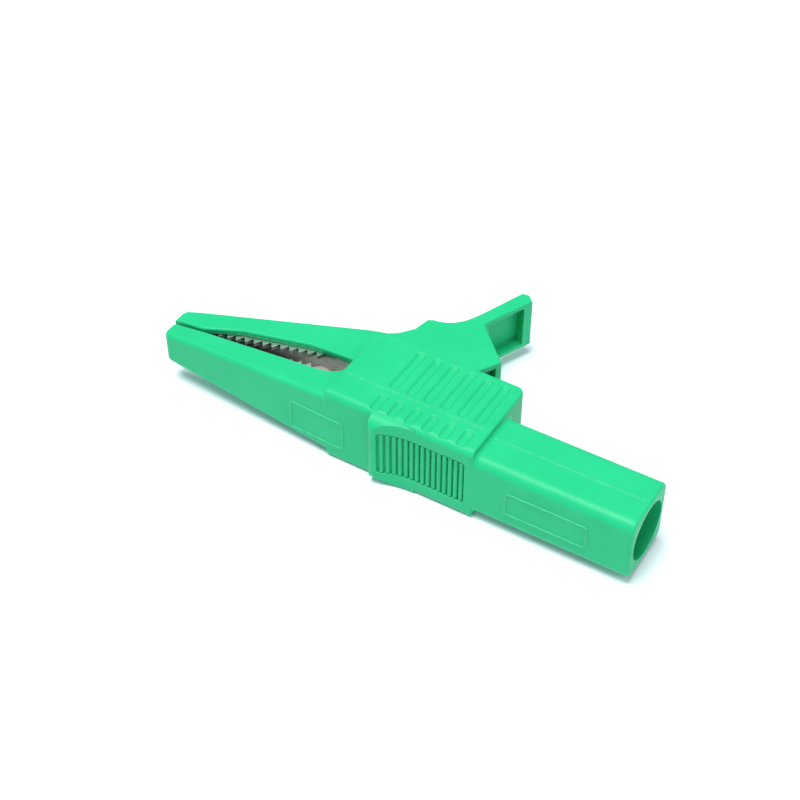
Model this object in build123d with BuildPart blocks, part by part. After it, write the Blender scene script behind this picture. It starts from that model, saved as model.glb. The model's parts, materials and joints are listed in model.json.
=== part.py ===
from build123d import *
import math
import os

# Insulated alligator clip with a shrouded 4 mm socket, all sizes in millimetres.
# X runs along the clip from the jaw tips (negative) to the socket mouth at X = 0.
# Y runs across it, towards the thumb lever. Z is the pivot's direction; the clip
# lies on one cheek of its grip, and Z = 0 is the mid-plane between the cheeks.

# ---- overall sizes -----------------------------------------------------------
sleeve_length = 26.4       # square socket sleeve behind the grip
grip_length = 26.6         # finger grip with its two cheeks
jaw_length = 32.8          # jaws in front of the grip
sleeve_width = 11.6
sleeve_corner = 1.8
grip_thickness = 14.0      # over both cheeks
grip_far_y = 11.0          # edge of the cheeks on the lever's side
tip_thickness = 6.0        # both jaws at their tips
jaw_root_thickness = 11.8  # fixed jaw where it meets the grip

# ---- walls and clearances ----------------------------------------------------
cheek_wall = 1.9
near_wall = 1.65
rear_wall = 2.0
lever_clearance = 0.3      # lever to cheek, each side
contact_clearance = 0.15   # metal to the plastic around it
nose_relief = 0.9          # room in front of the slanted moving jaw
pin_clearance = 0.05       # pin to the moving holes, on the radius
nest_clearance = 0.1       # between the ears of the two jaws

# ---- finger grip -------------------------------------------------------------
groove_pitch = 3.02
groove_count = 6
groove_width = 1.9
groove_depth = 0.4
groove_taper = 52
groove_corner = 0.7
groove_near_y = 0.4
groove_far_inset = 1.1     # groove ends to the cheek's far edge
recess_width = 1.9
recess_length = 4.0
recess_inset = 0.3         # recess ends to the near face
seam_width = 0.24
seam_height = 0.1
bulge_height = 1.7         # finger stop, proud of the near face
lip_length = 1.0
scoop_length = 6.6
bulge_round = 2.4
bulge_front_round = 0.8
bulge_inset = 0.3          # its ends to the cheeks' outer faces
rib_pitch = 0.97
rib_count = 15
rib_radius = 0.38
rib_half_height = 4.0
pocket_depth = 0.55
cheek_round = 1.2
cheek_rim_round = 0.4
rear_blend = 0.9           # hollow round between the grip and the sleeve
panel_height = 0.12        # raised outlines of the blank label panels
panel_line = 0.3
panel_corner = 0.8

# ---- pivot -------------------------------------------------------------------
pivot_from_front = 7.5
pivot_y = 4.6
pin_radius = 1.25
pin_seat_depth = 0.8       # blind seats in the cheeks
ear_radius = 3.2
hub_radius = 4.6
hub_room = 0.8             # free space in the lever, outside the hub's radius

# ---- metal jaws --------------------------------------------------------------
sheet = 0.65
tooth_pitch = 1.57
tooth_height = 1.1
tooth_count = 15
contact_tip_half = 1.95    # half width of a metal jaw at its tip
contact_root_half = 3.6    # and where it reaches the grip
tip_gap = 0.12             # between the front teeth when closed
tail_half_width = 2.2

# ---- torsion spring ----------------------------------------------------------
wire = 0.9
coil_play = 0.15           # coil to the bush inside it
coil_gap = 0.08            # between turns
moving_leg_turn = 70.0     # direction of the leg on the lever
leg_reach = 9.0
leg_room = 0.5             # free space beside the leg
leg_gap = 0.05             # leg to the wall that it pushes
bush_wall = 0.6

# ---- socket ------------------------------------------------------------------
socket_bore_radius = 2.0   # takes a 4 mm plug
socket_wall = 0.5
shroud_bore_radius = 4.8   # takes the plug's touch guard
shroud_depth = 22.0
guard_radius = 3.5         # insulating tube round the socket
guard_recess = 4.5         # its end behind the sleeve's mouth
guard_lip = 1.2            # its inward lip, which keeps the socket in
guard_rim = 0.5
lip_radius = 2.1           # narrow end of the plug's lead-in
socket_recess = 0.2        # socket end to the guard's lip
shank_length = 5.4
slit_length = 10.5
slit_width = 0.5
ring_wall = 0.25
ring_length = 3.0
cross_pin_radius = 0.75

# ---- places worked out from the sizes ----------------------------------------
grip_rear_x = -sleeve_length
grip_front_x = grip_rear_x - grip_length
tip_x = grip_front_x - jaw_length
near_y = -sleeve_width / 2
grip_half = grip_thickness / 2
cheek_inner = grip_half - cheek_wall
lever_half = cheek_inner - lever_clearance
pivot_x = grip_front_x + pivot_from_front
pivot = (pivot_x, pivot_y)
cavity_near_y = near_y + near_wall
cavity_rear_x = grip_rear_x - rear_wall
tip_half = tip_thickness / 2
jaw_root_half = jaw_root_thickness / 2
contact_tip_x = tip_x + 2.6
contact_root_x = grip_front_x - 4.0
bush_radius = pin_radius + pin_clearance + bush_wall
coil_radius = bush_radius + coil_play + wire / 2   # to the middle of the wire
guard_bore_radius = socket_bore_radius + socket_wall + ring_wall + 0.1
cross_pin_x = cavity_rear_x + shank_length / 2
big = 60.0
os.makedirs("parts", exist_ok=True)


def on_pivot(radius, degrees):
    """Point at a radius and direction from the pivot."""
    turn = math.radians(degrees)
    return (pivot_x + radius * math.cos(turn), pivot_y + radius * math.sin(turn))


def wedge_outline(front_x, front_half, root_x, root_half, rear_x):
    """Side outline of a jaw: it thickens from the tip to the root, then runs level."""
    upper = [(front_x, front_half), (root_x, root_half), (rear_x, root_half)]
    return upper + [(x, -z) for x, z in reversed(upper)]


def toothed_edge(line, side):
    """Tooth tips on a line y = line(x), with the valleys on the other side of it."""
    points = []
    for number in range(tooth_count):
        tip = first_tooth_x + number * tooth_pitch
        valley = tip + tooth_pitch / 2
        points.append((tip, line(tip)))
        points.append((valley, line(valley) + side * tooth_height))
    return points


def fixed_tips(x):
    """Tooth line of the fixed jaw, a gentle curve that falls away from the other jaw."""
    return -0.65 + 0.0053 * (x - contact_tip_x) ** 2


def moving_tips(x):
    """Tooth line of the moving jaw, straight, meeting the other at the front tooth."""
    return -0.65 + tip_gap + 0.195 * (x - contact_tip_x)


first_tooth_x = contact_tip_x + 0.6
last_tooth_x = first_tooth_x + tooth_count * tooth_pitch

# =============================== body housing =================================
bulge_front_x = grip_front_x + 8.9
lip_x = bulge_front_x + lip_length
scoop_end_x = lip_x + scoop_length
scoop_radius = (scoop_length ** 2 + bulge_height ** 2) / (2 * bulge_height)

# Grip block with rounded edges, before it joins the sleeve and the jaw.
with BuildPart() as grip_block:
    with BuildSketch(Plane.XY.offset(-grip_half)) as grip_plan:
        with BuildLine():
            Polyline(
                (grip_front_x, near_y),
                (grip_rear_x, near_y),
                (grip_rear_x, grip_far_y),
                (grip_front_x, grip_far_y),
                close=True,
            )
        make_face()
        fillet(grip_plan.vertices().sort_by_distance((grip_front_x, grip_far_y))[0], 2.6)
        fillet(grip_plan.vertices().sort_by_distance((grip_rear_x, grip_far_y))[0], 1.4)
    extrude(amount=grip_thickness)
    near_edges = grip_block.edges().filter_by(Axis.X).group_by(Axis.Y)[0]
    fillet(near_edges, cheek_round)
    flat_faces = grip_block.faces().filter_by(Axis.Z)
    rim_edges = flat_faces.edges().filter_by(lambda e: e.center().Y > cavity_near_y)
    fillet(rim_edges, cheek_rim_round)

# Finger stop: a rounded lip whose rear side is a scoop for the fingertip.
lip_y = near_y - bulge_height
with BuildPart() as finger_stop:
    with BuildSketch() as stop_plan:
        with BuildLine():
            RadiusArc((scoop_end_x, near_y), (lip_x, lip_y), -scoop_radius)
            Polyline(
                (lip_x, lip_y),
                (bulge_front_x, lip_y),
                (bulge_front_x, near_y + near_wall / 2),
                (scoop_end_x, near_y),
            )
        make_face()
        lip_corner = stop_plan.vertices().sort_by_distance((bulge_front_x, lip_y))[0]
        fillet(lip_corner, bulge_front_round)
    extrude(amount=big, both=True)
    with BuildSketch(Plane.YZ) as stop_section:
        with Locations((lip_y, 0)):
            Rectangle(big, 2 * (grip_half - bulge_inset), align=(Align.MIN, Align.CENTER))
        fillet(stop_section.vertices().group_by(Axis.X)[0], bulge_round)
    extrude(amount=big, both=True, mode=Mode.INTERSECT)

# Fixed jaw sheath, a wedge with a rounded near side.
jaw_near_tip_y = -4.1
jaw_end_x = grip_front_x + 1.0
with BuildPart() as jaw_block:
    with BuildSketch() as jaw_plan:
        with BuildLine():
            Polyline(
                (tip_x, -1.45),
                (tip_x, jaw_near_tip_y),
                (jaw_end_x, near_y),
                (jaw_end_x, 2.0),
                (grip_front_x, 2.0),
            )
            RadiusArc((grip_front_x, 2.0), (grip_front_x - 4.2, -0.5), 5.0)
            Polyline(
                (grip_front_x - 4.2, -0.5),
                (tip_x + 6.0, -1.0),
                (tip_x, -1.45),
            )
        make_face()
        fillet(jaw_plan.vertices().sort_by_distance((tip_x, jaw_near_tip_y))[0], 1.2)
    extrude(amount=big, both=True)
    with BuildSketch(Plane.XZ):
        Polygon(
            (tip_x, tip_half),
            (jaw_end_x, jaw_root_half),
            (jaw_end_x, -jaw_root_half),
            (tip_x, -tip_half),
            align=None,
        )
    extrude(amount=big, both=True, mode=Mode.INTERSECT)
    near_edges = jaw_block.edges().filter_by(
        lambda e: e.center().Y < jaw_near_tip_y and e.length > jaw_length / 2
    )
    fillet(near_edges, 0.85)

# Inside of a jaw sheath, round the metal jaw that slides into it.
cavity_half = [
    (contact_tip_x - contact_clearance, contact_tip_half + contact_clearance),
    (contact_root_x, contact_root_half + contact_clearance),
    (grip_rear_x, contact_root_half + contact_clearance),
]
cavity_outline = cavity_half + [(x, -z) for x, z in reversed(cavity_half)]
fixed_floor_tip = (contact_tip_x, -2.55)
fixed_floor_root = (pivot_x + 5.0, cavity_near_y + contact_clearance)
moving_floor_tip = (contact_tip_x, 2.3)
moving_floor_root = (pivot_x - 6.0, pivot_y + 5.2)


def shifted(point, dx, dy):
    """A point moved along X and Y."""
    return (point[0] + dx, point[1] + dy)


with BuildPart() as fixed_cavity:
    with BuildSketch():
        Polygon(
            shifted(fixed_floor_tip, -contact_clearance, -contact_clearance),
            shifted(fixed_floor_root, 0, -contact_clearance),
            (fixed_floor_root[0], big / 2),
            (contact_tip_x - contact_clearance, big / 2),
            align=None,
        )
    extrude(amount=big, both=True)
    with BuildSketch(Plane.XZ):
        Polygon(*cavity_outline, align=None)
    extrude(amount=big, both=True, mode=Mode.INTERSECT)


def near_surface(x):
    """Y of the grip's near face, scooped behind the finger stop's lip."""
    run = max(0.0, scoop_end_x - x)
    return near_y - scoop_radius + math.sqrt(scoop_radius ** 2 - run ** 2)


# Recess for the finger ribs, parallel to the scooped near face.
pocket_front_x = lip_x + 0.5
pocket_rear_x = pocket_front_x + rib_count * rib_pitch + 0.3
with BuildPart() as rib_pocket:
    with BuildSketch():
        with BuildLine():
            floor_front = (pocket_front_x, near_surface(pocket_front_x) + pocket_depth)
            floor_bend = (scoop_end_x, near_y + pocket_depth)
            RadiusArc(floor_bend, floor_front, -scoop_radius - pocket_depth)
            Polyline(
                floor_front,
                (pocket_front_x, near_y - big / 2),
                (pocket_rear_x, near_y - big / 2),
                (pocket_rear_x, near_y + pocket_depth),
                floor_bend,
            )
        make_face()
    extrude(amount=big, both=True)
    with BuildSketch(Plane.XZ):
        with Locations(((pocket_front_x + pocket_rear_x) / 2, 0)):
            RectangleRounded(
                pocket_rear_x - pocket_front_x, 2 * rib_half_height + 0.4, 0.5
            )
    extrude(amount=big, both=True, mode=Mode.INTERSECT)


# Blank label panels: thin raised outlines on the near side.
jaw_panel = ((grip_front_x - 1.6, -1.25), (10.3, 5.7))
sleeve_panel = ((-sleeve_length / 2 - 0.7, -0.4), (13.8, 4.6))
with BuildPart() as label_panels:
    with BuildSketch(Plane.XZ):
        for middle, (panel_length, panel_width) in (jaw_panel, sleeve_panel):
            with Locations(middle):
                RectangleRounded(panel_length, panel_width, panel_corner)
                RectangleRounded(
                    panel_length - 2 * panel_line,
                    panel_width - 2 * panel_line,
                    panel_corner - panel_line,
                    mode=Mode.SUBTRACT,
                )
    extrude(amount=big, both=True)
    with BuildSketch():
        Polygon(
            (tip_x, jaw_near_tip_y - panel_height),
            (jaw_end_x, near_y - panel_height),
            (0, near_y - panel_height),
            (0, near_y + panel_height),
            (jaw_end_x, near_y + panel_height),
            (tip_x, jaw_near_tip_y + panel_height),
            align=None,
        )
    extrude(amount=big, both=True, mode=Mode.INTERSECT)

lip_taper = math.degrees(math.atan((guard_radius - guard_rim - lip_radius) / guard_lip))
groove_first_x = grip_front_x + 8.8
groove_length = grip_far_y - groove_far_inset - groove_near_y
groove_y = groove_near_y + groove_length / 2
recess_y = near_y + recess_inset + recess_length / 2
with BuildPart() as body_housing:
    # Outer shape: sleeve, grip, finger stop and fixed jaw.
    with BuildSketch(Plane.YZ.offset(grip_rear_x - rear_wall / 2)):
        RectangleRounded(sleeve_width, sleeve_width, sleeve_corner)
    extrude(amount=sleeve_length + rear_wall / 2)
    fillet(body_housing.faces().sort_by(Axis.X)[-1].edges(), 0.5)
    add(grip_block.part)
    add(finger_stop.part)
    add(jaw_block.part)

    # Hollow round where the sleeve leaves the grip.
    sleeve_root_edges = body_housing.edges().filter_by(
        lambda e: abs(e.center().X - grip_rear_x) < 0.01
        and max(abs(e.center().Y), abs(e.center().Z)) < sleeve_width / 2 + 0.01
    )
    fillet(sleeve_root_edges, rear_blend)
    add(label_panels.part)

    # Mould seam, a fine raised line along the top of the grip and the sleeve.
    with BuildSketch(Plane.XY.offset(grip_half - seam_height)):
        with Locations((grip_front_x + 0.6, -0.3)):
            Rectangle(grip_length - 1.4, seam_width, align=(Align.MIN, Align.CENTER))
    extrude(amount=2 * seam_height)
    with BuildSketch(Plane.XY.offset(sleeve_width / 2 - seam_height)):
        with Locations((grip_rear_x - 0.4, 0)):
            Rectangle(sleeve_length - 0.4, seam_width, align=(Align.MIN, Align.CENTER))
    extrude(amount=2 * seam_height)

    # Long grip grooves and the short recesses beside them, on both cheeks.
    for side in (1, -1):
        with BuildSketch(Plane.XY.offset(side * grip_half)):
            for number in range(groove_count):
                groove_x = groove_first_x + number * groove_pitch
                with Locations((groove_x, groove_y)):
                    RectangleRounded(groove_width, groove_length, groove_corner)
                with Locations((groove_x, recess_y)):
                    RectangleRounded(recess_width, recess_length, groove_corner)
        extrude(amount=-side * groove_depth, taper=groove_taper, mode=Mode.SUBTRACT)

    # Finger ribs, standing in their recess.
    add(rib_pocket.part, mode=Mode.SUBTRACT)
    with BuildSketch():
        for number in range(rib_count):
            rib_x = pocket_front_x + 0.15 + (number + 0.5) * rib_pitch
            with Locations((rib_x, near_surface(rib_x) + rib_radius)):
                Circle(rib_radius)
    extrude(amount=rib_half_height, both=True)

    # Space between the cheeks, open to the front and to the lever's side.
    with BuildSketch():
        with Locations((grip_front_x - 0.01, cavity_near_y)):
            Rectangle(
                cavity_rear_x - grip_front_x + 0.01, big, align=(Align.MIN, Align.MIN)
            )
    extrude(amount=cheek_inner, both=True, mode=Mode.SUBTRACT)
    add(fixed_cavity.part, mode=Mode.SUBTRACT)

    # Blind seats for the pivot pin.
    with BuildSketch():
        with Locations(pivot):
            Circle(pin_radius)
    extrude(amount=cheek_inner + pin_seat_depth, both=True, mode=Mode.SUBTRACT)

    # Socket sleeve: annular bore round the guard tube, and the socket's own bore.
    with BuildSketch(Plane.YZ):
        Circle(shroud_bore_radius)
    extrude(amount=-shroud_depth, mode=Mode.SUBTRACT)
    with BuildSketch(Plane.YZ.offset(-shroud_depth)):
        Circle(guard_radius)
    extrude(amount=shroud_depth - guard_recess)
    with BuildSketch(Plane.YZ.offset(cavity_rear_x)):
        Circle(guard_bore_radius)
    extrude(amount=-cavity_rear_x - guard_recess - guard_lip, mode=Mode.SUBTRACT)
    with BuildSketch(Plane.YZ.offset(-guard_recess)):
        Circle(guard_radius - guard_rim)
    extrude(amount=-guard_lip, taper=lip_taper, mode=Mode.SUBTRACT)
body_housing.part.label = "body_housing"
export_step(body_housing.part, "parts/body_housing.step")

# =============================== lever housing ================================
# Moving jaw sheath, pivot hub, web and thumb lever in one moulding.
thumb_root = (pivot_x - 3.9, pivot_y + 15.0)
thumb_tip = (pivot_x + 6.3, pivot_y + 29.3)
thumb_rear_end = (thumb_tip[0] + 2.5, thumb_tip[1] - 1.1)
heel = (pivot_x + 4.8, pivot_y + 19.0)
web_corner = (pivot_x + 11.7, pivot_y + 12.1)
web_foot = (pivot_x + 6.6, pivot_y + 3.2)
hub_start = 200            # the hub's round, up to where the web leaves it
hub_end = 360 + math.degrees(
    math.atan2(web_foot[1] - pivot_y, web_foot[0] - pivot_x)
    - math.acos(hub_radius / math.dist(pivot, web_foot))
)
pocket_wall = 0.9          # round the recess behind the thumb
pocket_end_wall = 1.7
thumb_pocket_depth = 1.9
web_wall = 1.0
web_pocket_depth = 1.6
lever_root_x = grip_front_x - 3.0
ear_space_half = contact_root_half + contact_clearance
lever_round = 0.4


def floor_plane(start, end, facing):
    """Plane along a channel's floor; its z points out of the channel's back."""
    run = (end[0] - start[0], end[1] - start[1], 0)
    back = (-run[1] * facing, run[0] * facing, 0)
    return Plane(origin=(*start, 0), x_dir=run, z_dir=back)


floor_slope = (moving_floor_root[1] - moving_floor_tip[1]) / (
    moving_floor_root[0] - moving_floor_tip[0]
)
floor_run = (contact_root_x - contact_tip_x) * math.hypot(1, floor_slope)
lever_floor_plane = floor_plane(moving_floor_tip, moving_floor_root, 1)
fixed_floor_plane = floor_plane(fixed_floor_tip, fixed_floor_root, 1)
thumb_rear_length = math.dist(heel, thumb_rear_end)
thumb_rear_plane = floor_plane(heel, thumb_rear_end, -1)
web_rear_plane = floor_plane(web_foot, web_corner, -1)
web_rear_length = math.dist(web_foot, web_corner)
floor_length = math.dist(moving_floor_tip, moving_floor_root)
with BuildPart() as lever_housing:
    with BuildSketch():
        with BuildLine():
            Polyline(
                (tip_x - 0.2, -0.45),
                (tip_x + 5.2, -0.1),
                (tip_x + 11.5, 2.45),
                (grip_front_x - 9.5, 4.75),
                (grip_front_x - 1.5, 4.9),
                on_pivot(hub_radius, hub_start),
            )
            CenterArc(pivot, hub_radius, hub_start, hub_end - hub_start)
            Polyline(
                on_pivot(hub_radius, hub_end),
                web_foot,
                web_corner,
                heel,
                thumb_rear_end,
                (thumb_tip[0] + 1.3, thumb_tip[1] + 0.1),
                thumb_tip,
            )
            Spline(
                thumb_tip,
                (thumb_tip[0] - 2.9, thumb_tip[1] - 7.4),
                (thumb_tip[0] - 5.1, thumb_tip[1] - 11.6),
                (thumb_root[0] + 1.0, thumb_root[1] + 0.6),
                tangents=[(-0.37, -0.93), (-1.0, -0.12)],
            )
            Polyline(
                (thumb_root[0] + 1.0, thumb_root[1] + 0.6),
                (thumb_root[0] + 0.1, thumb_root[1] + 0.1),
                (thumb_root[0] - 0.5, thumb_root[1] - 2.9),
                (thumb_root[0] - 2.3, thumb_root[1] - 5.2),
                (thumb_root[0] - 3.6, thumb_root[1] - 6.1),
                (thumb_root[0] - 5.6, thumb_root[1] - 6.7),
                (tip_x + 2.4, 3.35),
                (tip_x + 0.2, 2.45),
                (tip_x - 0.2, 1.6),
                (tip_x - 0.2, -0.45),
            )
        make_face()
    extrude(amount=big, both=True)
    with BuildSketch(Plane.XZ):
        Polygon(
            *wedge_outline(tip_x - 0.2, tip_half, lever_root_x, lever_half, big),
            align=None,
        )
    extrude(amount=big, both=True, mode=Mode.INTERSECT)

    # Rounded rims. The fold where the jaw stops widening is no edge and stays.
    rim_edges = lever_housing.edges().filter_by(
        lambda e: abs(e.center().Z) > 1
        and abs((e % 0.5).Z) < 0.3
        and not (abs(e.center().X - lever_root_x) < 0.01 and e.length > 5)
    )
    fillet(rim_edges, lever_round)

    # Room for the metal jaw, its ears and the spring, open towards the other jaw.
    with BuildSketch(lever_floor_plane.offset(contact_clearance)):
        Polygon(
            (-nose_relief, contact_tip_half + contact_clearance),
            (floor_run, ear_space_half),
            (floor_length, ear_space_half),
            (floor_length, -ear_space_half),
            (floor_run, -ear_space_half),
            (-nose_relief, -contact_tip_half - contact_clearance),
            align=None,
        )
    extrude(amount=-big, mode=Mode.SUBTRACT)
    with BuildSketch():
        Polygon(
            (moving_floor_root[0] - 0.5, pivot_y - big / 2),
            (moving_floor_root[0] - 0.5, moving_floor_root[1]),
            shifted(moving_floor_root, 0.1, contact_clearance),
            on_pivot(ear_radius + 2 * contact_clearance, 80),
            (pivot_x, pivot_y - big / 2),
            align=None,
        )
        with Locations(pivot):
            Circle(hub_radius + hub_room)
    extrude(amount=ear_space_half, both=True, mode=Mode.SUBTRACT)
    with BuildSketch():
        with Locations(Location(pivot, moving_leg_turn)):
            with Locations((0, -coil_radius - wire / 2 - leg_room)):
                Rectangle(
                    leg_reach + leg_room,
                    wire + leg_room + leg_gap,
                    align=(Align.MIN, Align.MIN),
                )
    extrude(amount=ear_space_half, mode=Mode.SUBTRACT)
    with BuildSketch():
        with Locations(pivot):
            Circle(pin_radius + pin_clearance)
    extrude(amount=big, both=True, mode=Mode.SUBTRACT)
    # Recesses in the rear faces of the thumb lever and of the web below it.
    with BuildSketch(thumb_rear_plane):
        with Locations((pocket_wall, 0)):
            Rectangle(
                thumb_rear_length - pocket_wall - pocket_end_wall,
                2 * (lever_half - pocket_end_wall / 2),
                align=(Align.MIN, Align.CENTER),
            )
    extrude(amount=-thumb_pocket_depth, mode=Mode.SUBTRACT)
    with BuildSketch(web_rear_plane):
        with Locations((web_rear_length - web_wall, 0)):
            Rectangle(
                web_rear_length / 2, 2 * (lever_half - web_wall), align=(Align.MAX, Align.CENTER)
            )
    extrude(amount=-web_pocket_depth, mode=Mode.SUBTRACT)
lever_housing.part.label = "lever_housing"
export_step(lever_housing.part, "parts/lever_housing.step")

# ================================ metal jaws ==================================
# Each is a sheet-metal channel: a floor along its sheath, two toothed side walls
# and two ears on the pivot pin. The fixed jaw's ears nest inside the moving ones.
moving_outline = wedge_outline(
    contact_tip_x, contact_tip_half, contact_root_x, contact_root_half, big
)
with BuildPart() as moving_jaw_contact:
    with BuildSketch():
        with BuildLine():
            teeth = toothed_edge(moving_tips, 1)
            Polyline(
                (contact_tip_x, moving_tips(contact_tip_x) + tooth_height),
                *teeth,
                (last_tooth_x + 1.0, moving_tips(last_tooth_x) + tooth_height),
                on_pivot(ear_radius, 215),
            )
            CenterArc(pivot, ear_radius, 215, 225)
            Polyline(
                on_pivot(ear_radius, 80),
                moving_floor_root,
                moving_floor_tip,
                (contact_tip_x, moving_tips(contact_tip_x) + tooth_height),
            )
        make_face()
    extrude(amount=big, both=True)
    with BuildSketch(Plane.XZ):
        Polygon(*moving_outline, align=None)
    extrude(amount=big, both=True, mode=Mode.INTERSECT)
    with BuildSketch(lever_floor_plane.offset(-sheet)):
        Polygon(
            (-1.0, contact_tip_half - sheet),
            (0, contact_tip_half - sheet),
            (floor_run, contact_root_half - sheet),
            (big, contact_root_half - sheet),
            (big, -contact_root_half + sheet),
            (floor_run, -contact_root_half + sheet),
            (0, -contact_tip_half + sheet),
            (-1.0, -contact_tip_half + sheet),
            align=None,
        )
    extrude(amount=-big, mode=Mode.SUBTRACT)
    with BuildSketch():
        with Locations(pivot):
            Circle(pin_radius + pin_clearance)
    extrude(amount=big, both=True, mode=Mode.SUBTRACT)
moving_jaw_contact.part.label = "moving_jaw_contact"
export_step(moving_jaw_contact.part, "parts/moving_jaw_contact.step")

nested_half = contact_root_half - sheet - nest_clearance
fixed_outline = [
    (contact_tip_x, contact_tip_half),
    (contact_root_x - 1.0, contact_root_half),
    (contact_root_x + 1.5, nested_half),
    (big, nested_half),
]
fixed_hollow = [
    (contact_tip_x - 1.0, contact_tip_half - sheet),
    (contact_tip_x, contact_tip_half - sheet),
    (contact_root_x - 1.0, contact_root_half - sheet),
    (contact_root_x + 1.5, nested_half - sheet),
    (big, nested_half - sheet),
]
tail_bend = (fixed_floor_root[0] + 4.0, fixed_floor_root[1] - 0.1)
tail_start_x = cavity_rear_x - 2.2
with BuildPart() as fixed_jaw_contact:
    with BuildSketch():
        with BuildLine():
            teeth = toothed_edge(fixed_tips, -1)
            Polyline(
                fixed_floor_tip,
                (contact_tip_x, fixed_tips(contact_tip_x) - tooth_height),
                *teeth,
                (last_tooth_x + 0.3, fixed_tips(last_tooth_x) - 0.4),
                (grip_front_x + 1.0, fixed_tips(last_tooth_x)),
                on_pivot(ear_radius, 150),
            )
            CenterArc(pivot, ear_radius, 150, -150)
            Polyline(
                on_pivot(ear_radius, 0),
                (fixed_floor_root[0], fixed_floor_root[1] + 2.0),
                fixed_floor_root,
                fixed_floor_tip,
            )
        make_face()
    extrude(amount=big, both=True)
    with BuildSketch(Plane.XZ):
        Polygon(*fixed_outline, *[(x, -z) for x, z in reversed(fixed_outline)], align=None)
    extrude(amount=big, both=True, mode=Mode.INTERSECT)
    with BuildSketch(fixed_floor_plane.offset(sheet)):
        hollow = [(x - contact_tip_x, z) for x, z in fixed_hollow]
        Polygon(*hollow, *[(x, -z) for x, z in reversed(hollow)], align=None)
    extrude(amount=big, mode=Mode.SUBTRACT)
    # Tail, bent over to the socket's slotted shank.
    with BuildSketch():
        with BuildLine():
            centre = Polyline(
                (fixed_floor_root[0] - 1.0, fixed_floor_root[1] + sheet / 2),
                (tail_bend[0], tail_bend[1] + sheet / 2),
                (tail_start_x, 0),
                (cavity_rear_x + shank_length - 0.8, 0),
            )
        trace(centre, sheet)
    extrude(amount=tail_half_width, both=True)
    with BuildSketch(Plane.XZ):
        with Locations((cross_pin_x, 0)):
            Circle(cross_pin_radius + 0.03)
    extrude(amount=2, both=True, mode=Mode.SUBTRACT)
    with BuildSketch():
        with Locations(pivot):
            Circle(pin_radius + pin_clearance)
    extrude(amount=big, both=True, mode=Mode.SUBTRACT)
fixed_jaw_contact.part.label = "fixed_jaw_contact"
export_step(fixed_jaw_contact.part, "parts/fixed_jaw_contact.step")

# ============================== pivot and spring ==============================
with BuildPart() as pivot_pin:
    with BuildSketch(Plane.XY.offset(-cheek_inner - pin_seat_depth)):
        with Locations(pivot):
            Circle(pin_radius)
    extrude(amount=2 * (cheek_inner + pin_seat_depth))
    chamfer(pivot_pin.edges().filter_by(GeomType.CIRCLE), 0.2)
pivot_pin.part.label = "pivot_pin"
export_step(pivot_pin.part, "parts/pivot_pin.step")

bush_half = nested_half - sheet - 0.05
with BuildPart() as pivot_bush:
    with BuildSketch(Plane.XY.offset(-bush_half)):
        with Locations(pivot):
            Circle(bush_radius)
            Circle(pin_radius + pin_clearance, mode=Mode.SUBTRACT)
    extrude(amount=2 * bush_half)
pivot_bush.part.label = "pivot_bush"
export_step(pivot_bush.part, "parts/pivot_bush.step")

# The spring is one wire, drawn as two nodes: the coil with the leg on the fixed
# jaw, and the last turn with the leg on the lever, which turns with the lever.
wire_radius = wire / 2
lower_turn_z = wire_radius - bush_half
upper_turn_z = bush_half - wire_radius
fixed_leg_y = fixed_floor_root[1] + sheet + wire_radius + leg_gap
fixed_leg_end = (fixed_floor_root[0] + 2.0, fixed_leg_y)
fixed_leg_run = math.dist(pivot, fixed_leg_end)
fixed_leg_length = math.sqrt(fixed_leg_run ** 2 - coil_radius ** 2)
fixed_leg_start = math.degrees(
    math.atan2(fixed_leg_end[1] - pivot_y, fixed_leg_end[0] - pivot_x)
    + math.acos(coil_radius / fixed_leg_run)
)
coil_height = upper_turn_z - lower_turn_z - wire - coil_gap


def on_coil(degrees, z):
    """Plane across the wire, where it leaves the coil in the winding's direction."""
    turn = math.radians(degrees)
    along_wire = (-math.sin(turn), math.cos(turn), 0)
    return Plane(origin=(*on_pivot(coil_radius, degrees), z), x_dir=(0, 0, 1), z_dir=along_wire)


with BuildPart() as spring_coil:
    start_turn = math.radians(fixed_leg_start)
    start = Plane(
        origin=(*pivot, lower_turn_z),
        x_dir=(math.cos(start_turn), math.sin(start_turn), 0),
        z_dir=(0, 0, 1),
    )
    with BuildLine(start) as winding:
        Helix(pitch=wire + coil_gap, height=coil_height, radius=coil_radius)
    with BuildSketch(Plane(origin=winding.line @ 0, z_dir=winding.line % 0)):
        Circle(wire_radius)
    sweep(path=winding.line)
    with BuildSketch(on_coil(fixed_leg_start, lower_turn_z)):
        Circle(wire_radius)
    extrude(amount=-fixed_leg_length)
    with Locations(on_coil(fixed_leg_start, lower_turn_z).location):
        Sphere(wire_radius)
spring_coil.part.label = "spring_coil"
export_step(spring_coil.part, "parts/spring_coil.step")

moving_leg_start = moving_leg_turn - 90
with BuildPart() as spring_lever_leg:
    with BuildLine():
        last_turn = CenterArc((*pivot, upper_turn_z), coil_radius, moving_leg_start - 300, 300)
    with BuildSketch(on_coil(moving_leg_start - 300, upper_turn_z)):
        Circle(wire_radius)
    sweep(path=last_turn)
    with BuildSketch(on_coil(moving_leg_start, upper_turn_z)):
        Circle(wire_radius)
    extrude(amount=leg_reach)
spring_lever_leg.part.label = "spring_lever_leg"
export_step(spring_lever_leg.part, "parts/spring_lever_leg.step")

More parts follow.
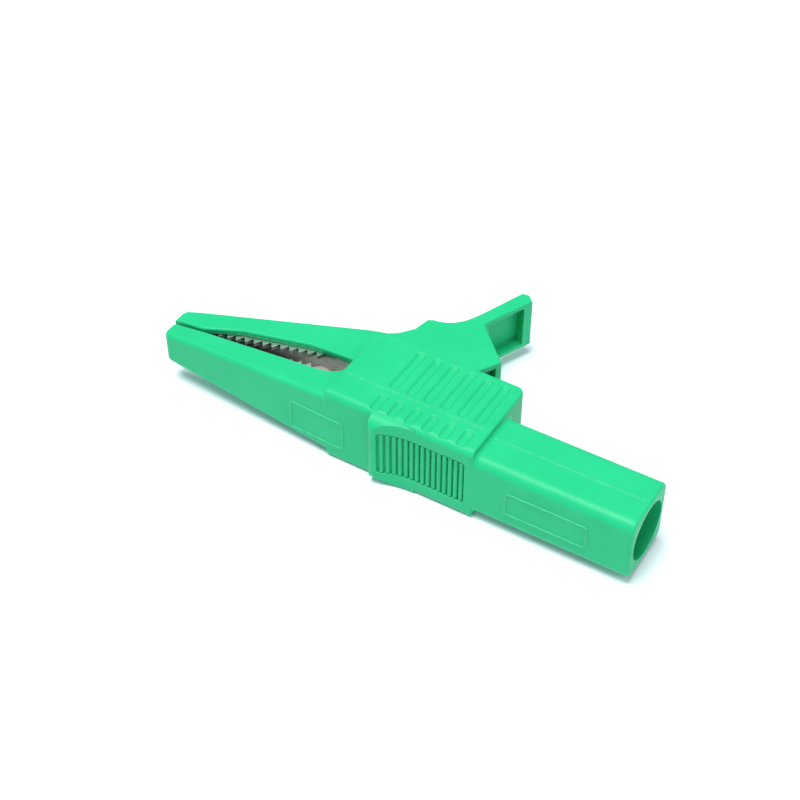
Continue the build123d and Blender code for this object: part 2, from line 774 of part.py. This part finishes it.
# =================================== socket ===================================
socket_radius = socket_bore_radius + socket_wall
socket_mouth_x = -guard_recess - guard_lip - socket_recess
socket_floor_x = cavity_rear_x + shank_length + 1.0
with BuildPart() as socket_contact:
    with BuildSketch(Plane.YZ.offset(cavity_rear_x)):
        Circle(socket_radius)
    extrude(amount=socket_mouth_x - cavity_rear_x)
    with BuildSketch(Plane.YZ.offset(socket_floor_x)):
        Circle(socket_bore_radius)
    extrude(amount=socket_mouth_x - socket_floor_x, mode=Mode.SUBTRACT)
    # Slits that let the mouth spring open, and the slot for the jaw's tail.
    with BuildSketch(Plane.YZ.offset(socket_mouth_x)):
        Rectangle(slit_width, 3 * socket_radius)
        Rectangle(3 * socket_radius, slit_width)
    extrude(amount=-slit_length, mode=Mode.SUBTRACT)
    with BuildSketch(Plane.YZ.offset(cavity_rear_x)):
        Rectangle(sheet + nest_clearance, 3 * socket_radius)
    extrude(amount=shank_length - 0.6, mode=Mode.SUBTRACT)
    with BuildSketch(Plane.XZ):
        with Locations((cross_pin_x, 0)):
            Circle(cross_pin_radius + 0.03)
    extrude(amount=big, both=True, mode=Mode.SUBTRACT)
socket_contact.part.label = "socket_contact"
export_step(socket_contact.part, "parts/socket_contact.step")

with BuildPart() as socket_grip_ring:
    with BuildSketch(Plane.YZ.offset(socket_mouth_x - 1.5)):
        Circle(socket_radius + 0.03 + ring_wall)
        Circle(socket_radius + 0.03, mode=Mode.SUBTRACT)
        with Locations((0, socket_radius)):
            Rectangle(0.8, 2.0, mode=Mode.SUBTRACT)
    extrude(amount=-ring_length)
socket_grip_ring.part.label = "socket_grip_ring"
export_step(socket_grip_ring.part, "parts/socket_grip_ring.step")

with BuildPart() as tail_cross_pin:
    with BuildSketch(Plane.XZ.offset(-socket_radius + 0.15)):
        with Locations((cross_pin_x, 0)):
            Circle(cross_pin_radius)
    extrude(amount=2 * socket_radius - 0.3)
    chamfer(tail_cross_pin.edges().filter_by(GeomType.CIRCLE), 0.15)
tail_cross_pin.part.label = "tail_cross_pin"
export_step(tail_cross_pin.part, "parts/tail_cross_pin.step")
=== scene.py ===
import json
import math

import bpy
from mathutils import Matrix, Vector


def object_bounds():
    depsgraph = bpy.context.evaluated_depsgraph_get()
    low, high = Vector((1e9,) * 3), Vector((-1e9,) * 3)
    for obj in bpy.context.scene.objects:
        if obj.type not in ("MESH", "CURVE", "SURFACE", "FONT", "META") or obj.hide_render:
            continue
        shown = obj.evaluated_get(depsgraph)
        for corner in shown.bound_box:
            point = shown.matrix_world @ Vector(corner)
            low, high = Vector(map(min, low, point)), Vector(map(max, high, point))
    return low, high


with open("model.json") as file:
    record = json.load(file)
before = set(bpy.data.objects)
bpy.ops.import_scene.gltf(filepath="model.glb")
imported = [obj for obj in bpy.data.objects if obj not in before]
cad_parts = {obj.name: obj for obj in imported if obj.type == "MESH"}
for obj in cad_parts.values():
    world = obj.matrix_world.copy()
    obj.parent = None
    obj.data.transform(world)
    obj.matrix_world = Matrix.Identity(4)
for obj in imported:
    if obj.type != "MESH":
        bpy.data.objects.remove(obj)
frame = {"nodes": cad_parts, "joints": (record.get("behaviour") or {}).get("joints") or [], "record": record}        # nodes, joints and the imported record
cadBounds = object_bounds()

mm = 0.001
nodes = frame["nodes"]
pivot = Vector(frame["joints"][0]["pos_m"])
print("frame loaded:", len(nodes), "nodes")


# one socket of a node tree; sums on it become Math nodes
class Tap:
    def __init__(self, paint, socket):
        self.paint = paint
        self.socket = socket

    def __add__(self, other):
        return self.paint.sum("ADD", self, other)

    def __sub__(self, other):
        return self.paint.sum("SUBTRACT", self, other)

    def __rsub__(self, other):
        return self.paint.sum("SUBTRACT", other, self)

    def __mul__(self, other):
        return self.paint.sum("MULTIPLY", self, other)

    __radd__ = __add__
    __rmul__ = __mul__


# a material and the nodes that are put in it
class Paint:
    def __init__(self, name):
        self.material = bpy.data.materials.new(name)
        self.material.use_nodes = True
        self.tree = self.material.node_tree
        self.tree.nodes.clear()

    # settings go in first, then the sockets; out picks the socket that is handed back
    def node(self, kind, settings, sockets, out=0):
        made = self.tree.nodes.new(kind)
        for name, value in settings.items():
            setattr(made, name, value)
        for name, value in sockets.items():
            if isinstance(value, Tap):
                self.tree.links.new(value.socket, made.inputs[name])
            else:
                made.inputs[name].default_value = value
        return Tap(self, made.outputs[out]) if made.outputs else None

    def sum(self, operation, first, second):
        return self.node("ShaderNodeMath", {"operation": operation}, {0: first, 1: second})

    # soft step from 0 at low to 1 at high
    def step(self, value, low, high):
        settings = {"interpolation_type": "SMOOTHSTEP"}
        return self.node("ShaderNodeMapRange", settings, {0: value, 1: low, 2: high})

    def mixColour(self, factor, first, second):
        settings = {"data_type": "RGBA"}
        return self.node("ShaderNodeMix", settings, {0: factor, 6: first, 7: second}, 2)

    def place(self):
        return self.node("ShaderNodeTexCoord", {}, {}, "Object")

    def stretched(self, place, scale):
        settings = {"operation": "MULTIPLY"}
        return self.node("ShaderNodeVectorMath", settings, {0: place, 1: scale})

    def noise(self, place, size, detail, rough):
        sockets = {"Vector": place, "Scale": 1 / size, "Detail": detail, "Roughness": rough}
        return self.node("ShaderNodeTexNoise", {}, sockets)

    # the surface's direction with its edges rounded off
    def rounded(self, radius, samples=6):
        return self.node("ShaderNodeBevel", {"samples": samples}, {"Radius": radius})

    # how far the surface turns within this radius, 0 on flats and up to 1 on edges
    def edges(self, radius):
        rounded = self.rounded(radius)
        normal = self.node("ShaderNodeNewGeometry", {}, {}, "Normal")
        facing = {"operation": "DOT_PRODUCT"}
        along = self.node("ShaderNodeVectorMath", facing, {0: rounded, 1: normal}, "Value")
        return 1 - along

    # 1 in the open and towards 0 where walls stand within this distance
    def openness(self, distance):
        return self.node("ShaderNodeAmbientOcclusion", {"samples": 8}, {"Distance": distance}, "AO")

    def bump(self, height, depth, normal):
        sockets = {"Height": height, "Distance": depth, "Strength": 1.0, "Normal": normal}
        return self.node("ShaderNodeBump", {}, sockets)

    def finish(self, sockets):
        shader = self.node("ShaderNodeBsdfPrincipled", {}, sockets)
        self.node("ShaderNodeOutputMaterial", {}, {"Surface": shader})
        return self.material


def colour(red, green, blue):
    return (red, green, blue, 1)


# moulded plastic of both shells; a noise such as cloud, here and below, is its size, detail
# and roughness, and a range is where the mask starts and where it is full
shellLook = {
    "base": colour(0.014, 0.455, 0.190),
    "deep": colour(0.009, 0.412, 0.167),
    # the lighter worn tone is edge wear and a painted highlight in one, for seams, outlines and
    # rims
    "wornAndHighlit": colour(0.110, 0.680, 0.400),
    # the darker hollow tone is painted shade for recesses, grooves and the bore
    "hollow": colour(0.001, 0.300, 0.085),
    "cloud": (7 * mm, 3, 0.6),
    "cloudRange": (0.3, 0.7),
    "cloudShare": 0.55,
    "speck": (0.45 * mm, 2, 0.7),
    "speckRange": (0.66, 0.78),
    "speckShare": 0.25,
    "wornAndHighlitReach": 0.18 * mm,
    "wornAndHighlitRange": (0.008, 0.14),
    "wornAndHighlitShare": 0.75,
    "patch": (1.6 * mm, 4, 0.7),
    "patchRange": (0.30, 0.60),
    "patchShare": 0.5,
    "hollowReach": 4 * mm,
    "hollowRange": (0.08, 0.42),
    "hollowShare": 0.2,
    "sink": (9 * mm, 1, 0.4),
    "sinkDepth": 0.08 * mm,
    "orangePeel": (0.9 * mm, 2, 0.5),
    "orangePeelDepth": 0.012 * mm,
    "grain": (0.16 * mm, 3, 0.6),
    "grainDepth": 0.010 * mm,
    "edgeRadius": 0.09 * mm,
    "roughness": 0.42,
    "cloudRubbing": 0.10,
    "speckRubbing": 0.12,
    "wornAndHighlitPolish": 0.10,
    "specular": 0.18,
    "ior": 1.49,
}


def shellPlastic():
    look = shellLook
    paint = Paint("green_shell")
    place = paint.place()
    cloud = paint.noise(place, *look["cloud"])
    speck = paint.noise(place, *look["speck"])
    # edges get the lighter tone: partly edge wear, partly a painted highlight
    edgeHighlight = paint.step(paint.edges(look["wornAndHighlitReach"]), *look["wornAndHighlitRange"])
    patchy = paint.step(paint.noise(place, *look["patch"]), *look["patchRange"])
    wornAndHighlit = edgeHighlight * (patchy * look["patchShare"] + (1 - look["patchShare"]))
    # painted shade: darker where walls stand close, in recesses, grooves, the thumb pocket and the
    # bore
    hollow = 1 - paint.step(paint.openness(look["hollowReach"]), *look["hollowRange"])
    clouded = paint.step(cloud, *look["cloudRange"]) * look["cloudShare"]
    specked = paint.step(speck, *look["speckRange"]) * look["speckShare"]
    tone = paint.mixColour(clouded, look["base"], look["deep"])
    tone = paint.mixColour(specked, tone, look["deep"])
    tone = paint.mixColour(hollow * look["hollowShare"], tone, look["hollow"])
    tone = paint.mixColour(wornAndHighlit * look["wornAndHighlitShare"], tone, look["wornAndHighlit"])

    sunk = paint.noise(place, *look["sink"])
    peel = paint.noise(place, *look["orangePeel"])
    grain = paint.noise(place, *look["grain"])
    surface = paint.bump(sunk, look["sinkDepth"], paint.rounded(look["edgeRadius"]))
    surface = paint.bump(peel, look["orangePeelDepth"], surface)
    surface = paint.bump(grain, look["grainDepth"], surface)
    rubbed = look["roughness"] + (cloud - 0.5) * look["cloudRubbing"]
    rubbed = rubbed + (speck - 0.5) * look["speckRubbing"] - wornAndHighlit * look["wornAndHighlitPolish"]
    return paint.finish({
        "Base Color": tone,
        "Roughness": rubbed,
        "Normal": surface,
        "IOR": look["ior"],
        "Specular IOR Level": look["specular"],
    })


# nickel plating of both toothed jaws and the socket, with fine lines along the clip, a painted
# highlight on its edges and painted shade in its hollows
nickelLook = {
    "bright": colour(0.95, 0.92, 0.87),
    "dull": colour(0.66, 0.62, 0.56),
    # the near-black hollow tone is painted shade for the inside of the jaws and the socket
    "hollow": colour(0.050, 0.046, 0.042),
    "stretch": (0.06, 1, 1),
    "lines": (0.10 * mm, 3, 0.6),
    "lineDepth": 0.004 * mm,
    "cloud": (1.4 * mm, 4, 0.65),
    "cloudRange": (0.45, 0.75),
    "cloudShare": 0.6,
    # edges are mixed towards the bright tone as a painted highlight
    "edgeHighlightReach": 0.15 * mm,
    "edgeHighlightRange": (0.05, 0.4),
    "edgeHighlightShare": 0.5,
    "edgeRadius": 0.06 * mm,
    "hollowReach": 9 * mm,
    "hollowRange": (0.22, 0.52),
    "hollowShare": 0.95,
    "roughness": 0.32,
    "lineRubbing": 0.18,
    "cloudRubbing": 0.12,
}


def nickelPlate():
    look = nickelLook
    paint = Paint("nickel_plate")
    place = paint.place()
    lines = paint.noise(paint.stretched(place, look["stretch"]), *look["lines"])
    cloud = paint.noise(place, *look["cloud"])
    # painted highlight: edges and tooth tops turn towards the bright tone
    edgeHighlight = paint.step(paint.edges(look["edgeHighlightReach"]), *look["edgeHighlightRange"])
    # painted shade: nearly black where walls stand close, inside the jaws' channels and the socket
    hollow = 1 - paint.step(paint.openness(look["hollowReach"]), *look["hollowRange"])
    clouded = paint.step(cloud, *look["cloudRange"]) * look["cloudShare"]
    tone = paint.mixColour(clouded, look["bright"], look["dull"])
    tone = paint.mixColour(edgeHighlight * look["edgeHighlightShare"], tone, look["bright"])
    tone = paint.mixColour(hollow * look["hollowShare"], tone, look["hollow"])
    rubbed = look["roughness"] + (lines - 0.5) * look["lineRubbing"]
    rubbed = rubbed + (cloud - 0.5) * look["cloudRubbing"]
    return paint.finish({
        "Base Color": tone,
        "Metallic": 1.0,
        "Roughness": rubbed,
        "Normal": paint.bump(lines, look["lineDepth"], paint.rounded(look["edgeRadius"])),
    })


# turned or drawn metal, with fine lines that run the way the pivot pin does
turnedLook = {
    "stretch": (1, 1, 0.08),
    "lines": (0.08 * mm, 2, 0.6),
    "lineDepth": 0.003 * mm,
    "lineRubbing": 0.2,
    "cloud": (1.1 * mm, 3, 0.6),
    "cloudRange": (0.4, 0.8),
    "edgeRadius": 0.08 * mm,
    "edgeSamples": 4,
}


def turnedMetal(name, bright, dull, roughness):
    look = turnedLook
    paint = Paint(name)
    place = paint.place()
    lines = paint.noise(paint.stretched(place, look["stretch"]), *look["lines"])
    cloud = paint.noise(place, *look["cloud"])
    clouded = paint.step(cloud, *look["cloudRange"])
    rounded = paint.rounded(look["edgeRadius"], look["edgeSamples"])
    return paint.finish({
        "Base Color": paint.mixColour(clouded, bright, dull),
        "Metallic": 1.0,
        "Roughness": roughness + (lines - 0.5) * look["lineRubbing"],
        "Normal": paint.bump(lines, look["lineDepth"], rounded),
    })


# bright tone, dull tone and roughness of each turned or drawn metal
turnedTones = {
    "pin_steel": (colour(0.62, 0.62, 0.62), colour(0.40, 0.40, 0.41), 0.28),
    "bush_brass": (colour(0.80, 0.60, 0.28), colour(0.55, 0.38, 0.16), 0.26),
    "spring_wire": (colour(0.44, 0.44, 0.45), colour(0.25, 0.25, 0.26), 0.34),
}
finishes = {"green_shell": shellPlastic(), "nickel_plate": nickelPlate()}
for name, tones in turnedTones.items():
    finishes[name] = turnedMetal(name, *tones)
for part in frame["record"]["subparts"]:
    node = nodes[part["node"]]
    node.data.materials.clear()
    node.data.materials.append(finishes[part["material_slot"]])
print("materials on", len(nodes), "nodes")


# floor, light and camera
studio = {
    "floorSize": 3.0,
    "floorShade": colour(0.79, 0.84, 0.885),
    "floorCloudShade": colour(0.77, 0.83, 0.88),
    "floorCloud": (0.4, 2, 0.5),
    "floorCloudShare": 0.2,
    # the floor glows faintly blue: painted light that lifts and tints the shadows on it
    "floorGlow": colour(0.40, 0.80, 1.0),
    "floorGlowStrength": 0.10,
    "floorRoughness": 0.6,
    "worldShade": colour(0.95, 0.98, 1),
    "worldStrength": 0.33,
    "aim": pivot + Vector((-0.16, 0.47, 0)) * mm,
    "distance": 255.5 * mm,
    "elevation": 43.0,
    "turn": 31.39,
    "lens": 72,
    "sensor": 36,
    "clipStart": 0.01,
}
# direction round and up in degrees, distance and size in metres, power in watts
softBoxes = {
    "top_light": (-31, 78, 0.9, 0.5, 12.2),
    "rear_fill": (80, 32, 0.9, 0.8, 2.4),
}


# unit vector away from the clip, from degrees round it and up
def outward(azimuth, elevation):
    around, up = math.radians(azimuth), math.radians(elevation)
    across = math.cos(up)
    return Vector((math.sin(around) * across, -math.cos(around) * across, math.sin(up)))


def layFloor():
    low = (0, 0, cadBounds[0][2])
    bpy.ops.mesh.primitive_plane_add(size=studio["floorSize"], location=low)
    floor = bpy.context.object
    floor.name = "floor"
    paint = Paint("floor_white")
    cloud = paint.noise(paint.place(), *studio["floorCloud"]) * studio["floorCloudShare"]
    floor.data.materials.append(paint.finish({
        "Base Color": paint.mixColour(cloud, studio["floorShade"], studio["floorCloudShade"]),
        "Roughness": studio["floorRoughness"],
        # painted light: a faint blue glow from the floor itself
        "Emission Color": studio["floorGlow"],
        "Emission Strength": studio["floorGlowStrength"],
    }))


# a square soft box that faces the clip
def softBox(name, azimuth, elevation, distance, size, power):
    lamp = bpy.data.lights.new(name, "AREA")
    lamp.shape = "SQUARE"
    lamp.size = size
    lamp.energy = power
    box = bpy.data.objects.new(name, lamp)
    bpy.context.scene.collection.objects.link(box)
    away = outward(azimuth, elevation)
    box.location = studio["aim"] + away * distance
    box.rotation_euler = away.to_track_quat("Z", "Y").to_euler()


def setCamera():
    lens = bpy.data.cameras.new("camera")
    lens.lens = studio["lens"]
    lens.sensor_width = studio["sensor"]
    lens.clip_start = studio["clipStart"]
    camera = bpy.data.objects.new("camera", lens)
    bpy.context.scene.collection.objects.link(camera)
    turn, rise = studio["turn"], studio["elevation"]
    camera.location = studio["aim"] + outward(turn, rise) * studio["distance"]
    camera.rotation_euler = (math.pi / 2 - math.radians(rise), 0, math.radians(turn))
    bpy.context.scene.camera = camera


def setWorld():
    world = bpy.data.worlds.new("studio")
    world.use_nodes = True
    sky = world.node_tree.nodes["Background"]
    sky.inputs["Color"].default_value = studio["worldShade"]
    sky.inputs["Strength"].default_value = studio["worldStrength"]
    bpy.context.scene.world = world


layFloor()
for name, settings in softBoxes.items():
    softBox(name, *settings)
setCamera()
setWorld()
bpy.context.scene.view_settings.view_transform = "Standard"
print("studio ready")
